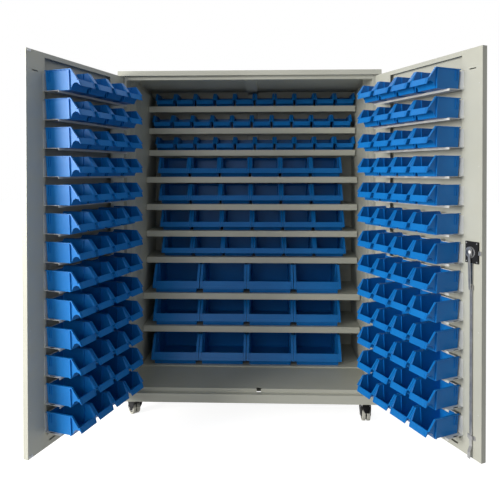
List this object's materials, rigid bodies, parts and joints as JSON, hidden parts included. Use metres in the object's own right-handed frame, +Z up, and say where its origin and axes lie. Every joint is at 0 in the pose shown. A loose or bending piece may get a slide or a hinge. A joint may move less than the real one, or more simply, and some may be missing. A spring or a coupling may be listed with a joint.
{
  "type": "parts bin cabinet",
  "caption": "Two-door steel cabinet on casters, with open-front bins on its shelves and on rails inside both doors, and a rod lock.",
  "frame": {"origin": "on the floor under the middle of the closed cabinet's plan", "axes": "+X to the right seen from the front, +Y to the back, +Z up"},
  "size_m": [1.9674, 1.4394, 1.948],
  "materials": {
    "powder": "fine-textured powder coat",
    "rail": "smooth powder coat",
    "bin_plastic": "satin polypropylene",
    "black_steel": "satin",
    "zinc": "zinc plated",
    "handle": "satin",
    "tread": "smooth",
    "black_housing": "satin",
    "pedal": "satin"
  },
  "bodies": {
    "cabinet": {"back_panel": "powder", "caster_mounts": "black_housing", "floor_panel": "powder", "floor_tray": "powder", "header_rail": "powder", "hinge_pins": "zinc", "plinth": "powder", "roof_stiffener": "powder", "shelf_1": "powder", "shelf_2": "powder", "shelf_3": "powder", "shelf_4": "powder", "shelf_5": "powder", "shelf_6": "powder", "shelf_7": "powder", "shelf_8": "powder", "shelf_9": "powder", "shelf_brackets": "powder", "side_left": "powder", "side_right": "powder", "top_cap": "powder", "upright_left": "powder", "upright_right": "powder"},
    "door_left": {"door_left": "powder", "bin_rails_left": "rail"},
    "door_right": {"door_right": "powder", "bin_rails_right": "rail", "lock_case": "black_steel", "rod_guides": "zinc"},
    "handle": {"handle": "handle", "cam": "zinc"},
    "latch_bolt": {"latch_bolt": "zinc"},
    "rod_lower": {"rod_lower": "zinc"},
    "bins_row_01": {"bins_row_01": "bin_plastic"},
    "bins_row_02": {"bins_row_02": "bin_plastic"},
    "bins_row_03": {"bins_row_03": "bin_plastic"},
    "bins_row_04": {"bins_row_04": "bin_plastic"},
    "bins_row_05": {"bins_row_05": "bin_plastic"},
    "bins_row_06": {"bins_row_06": "bin_plastic"},
    "bins_row_07": {"bins_row_07": "bin_plastic"},
    "bins_row_08": {"bins_row_08": "bin_plastic"},
    "bins_row_09": {"bins_row_09": "bin_plastic"},
    "bins_row_10": {"bins_row_10": "bin_plastic"},
    "door_bins_left_1": {"door_bins_left_1": "bin_plastic"},
    "door_bins_left_2": {"door_bins_left_2": "bin_plastic"},
    "door_bins_left_3": {"door_bins_left_3": "bin_plastic"},
    "door_bins_left_4": {"door_bins_left_4": "bin_plastic"},
    "door_bins_right_1": {"door_bins_right_1": "bin_plastic"},
    "door_bins_right_2": {"door_bins_right_2": "bin_plastic"},
    "door_bins_right_3": {"door_bins_right_3": "bin_plastic"},
    "door_bins_right_4": {"door_bins_right_4": "bin_plastic"},
    "caster_fork_left": {"caster_fork_left": "black_housing"},
    "caster_wheel_front_left": {"caster_wheel_front_left": "tread"},
    "caster_wheel_rear_left": {"caster_wheel_rear_left": "tread"},
    "brake_pedal_left": {"brake_pedal_left": "pedal"},
    "caster_fork_right": {"caster_fork_right": "black_housing"},
    "caster_wheel_front_right": {"caster_wheel_front_right": "tread"},
    "caster_wheel_rear_right": {"caster_wheel_rear_right": "tread"},
    "brake_pedal_right": {"brake_pedal_right": "pedal"}
  },
  "joints": [
    {"name": "door_left_swing", "type": "hinge", "parent": "cabinet", "child": "door_left", "pos_m": [-0.713, -0.3725, 0.162], "axis": [0, 0, -1], "range_deg": [-107.5, 67.5]},
    {"name": "door_right_swing", "type": "hinge", "parent": "cabinet", "child": "door_right", "pos_m": [0.713, -0.3725, 0.162], "axis": [0, 0, 1], "range_deg": [-115, 60]},
    {"name": "handle_turn", "type": "hinge", "parent": "door_right", "child": "handle", "pos_m": [0.97933, -0.97323, 1.046], "axis": [-0.9063, -0.4226, 0], "range_deg": [0, 90]},
    {"name": "bolt_slide", "type": "slide", "parent": "door_right", "child": "latch_bolt", "axis": [0.4226, -0.9063, 0], "range_m": [0, 0.0201]},
    {"name": "rod_lower_slide", "type": "slide", "parent": "door_right", "child": "rod_lower", "axis": [0, 0, -1], "range_m": [0, 0.0181]},
    {"name": "bins_row_01_pull", "type": "slide", "parent": "cabinet", "child": "bins_row_01", "axis": [0, -1, 0], "range_m": [0, 0.12]},
    {"name": "bins_row_02_pull", "type": "slide", "parent": "cabinet", "child": "bins_row_02", "axis": [0, -1, 0], "range_m": [0, 0.12]},
    {"name": "bins_row_03_pull", "type": "slide", "parent": "cabinet", "child": "bins_row_03", "axis": [0, -1, 0], "range_m": [0, 0.12]},
    {"name": "bins_row_04_pull", "type": "slide", "parent": "cabinet", "child": "bins_row_04", "axis": [0, -1, 0], "range_m": [0, 0.12]},
    {"name": "bins_row_05_pull", "type": "slide", "parent": "cabinet", "child": "bins_row_05", "axis": [0, -1, 0], "range_m": [0, 0.12]},
    {"name": "bins_row_06_pull", "type": "slide", "parent": "cabinet", "child": "bins_row_06", "axis": [0, -1, 0], "range_m": [0, 0.12]},
    {"name": "bins_row_07_pull", "type": "slide", "parent": "cabinet", "child": "bins_row_07", "axis": [0, -1, 0], "range_m": [0, 0.12]},
    {"name": "bins_row_08_pull", "type": "slide", "parent": "cabinet", "child": "bins_row_08", "axis": [0, -1, 0], "range_m": [0, 0.12]},
    {"name": "bins_row_09_pull", "type": "slide", "parent": "cabinet", "child": "bins_row_09", "axis": [0, -1, 0], "range_m": [0, 0.12]},
    {"name": "bins_row_10_pull", "type": "slide", "parent": "cabinet", "child": "bins_row_10", "axis": [0, -1, 0], "range_m": [0, 0.12]},
    {"name": "door_bins_left_1_lift", "type": "slide", "parent": "door_left", "child": "door_bins_left_1", "axis": [0, 0, 1], "range_m": [0, 0.012]},
    {"name": "door_bins_left_2_lift", "type": "slide", "parent": "door_left", "child": "door_bins_left_2", "axis": [0, 0, 1], "range_m": [0, 0.012]},
    {"name": "door_bins_left_3_lift", "type": "slide", "parent": "door_left", "child": "door_bins_left_3", "axis": [0, 0, 1], "range_m": [0, 0.012]},
    {"name": "door_bins_left_4_lift", "type": "slide", "parent": "door_left", "child": "door_bins_left_4", "axis": [0, 0, 1], "range_m": [0, 0.012]},
    {"name": "door_bins_right_1_lift", "type": "slide", "parent": "door_right", "child": "door_bins_right_1", "axis": [0, 0, 1], "range_m": [0, 0.012]},
    {"name": "door_bins_right_2_lift", "type": "slide", "parent": "door_right", "child": "door_bins_right_2", "axis": [0, 0, 1], "range_m": [0, 0.012]},
    {"name": "door_bins_right_3_lift", "type": "slide", "parent": "door_right", "child": "door_bins_right_3", "axis": [0, 0, 1], "range_m": [0, 0.012]},
    {"name": "door_bins_right_4_lift", "type": "slide", "parent": "door_right", "child": "door_bins_right_4", "axis": [0, 0, 1], "range_m": [0, 0.012]},
    {"name": "swivel_left", "type": "hinge", "parent": "cabinet", "child": "caster_fork_left", "pos_m": [-0.65, -0.3, 0.1], "axis": [0, 0, 1], "continuous": true},
    {"name": "caster_wheel_front_left_roll", "type": "hinge", "parent": "caster_fork_left", "child": "caster_wheel_front_left", "pos_m": [-0.66607, -0.28085, 0.036], "axis": [-0.766, -0.6428, 0], "continuous": true},
    {"name": "caster_wheel_rear_left_roll", "type": "hinge", "parent": "cabinet", "child": "caster_wheel_rear_left", "pos_m": [-0.65, 0.325, 0.036], "axis": [1, 0, 0], "continuous": true},
    {"name": "brake_left_press", "type": "hinge", "parent": "caster_fork_left", "child": "brake_pedal_left", "pos_m": [-0.67841, -0.26614, 0.0865], "axis": [-0.766, -0.6428, 0], "range_deg": [0, 12]},
    {"name": "swivel_right", "type": "hinge", "parent": "cabinet", "child": "caster_fork_right", "pos_m": [0.65, -0.3, 0.1], "axis": [0, 0, 1], "continuous": true},
    {"name": "caster_wheel_front_right_roll", "type": "hinge", "parent": "caster_fork_right", "child": "caster_wheel_front_right", "pos_m": [0.65, -0.325, 0.036], "axis": [1, 0, 0], "continuous": true},
    {"name": "caster_wheel_rear_right_roll", "type": "hinge", "parent": "cabinet", "child": "caster_wheel_rear_right", "pos_m": [0.65, 0.325, 0.036], "axis": [1, 0, 0], "continuous": true},
    {"name": "brake_right_press", "type": "hinge", "parent": "caster_fork_right", "child": "brake_pedal_right", "pos_m": [0.65, -0.3442, 0.0865], "axis": [1, 0, 0], "range_deg": [0, 12]}
  ],
  "couplings": [
    {"joint": "bolt_slide", "follows": "handle_turn", "m_per_rad": 0.012732},
    {"joint": "rod_lower_slide", "follows": "handle_turn", "m_per_rad": 0.011459}
  ]
}
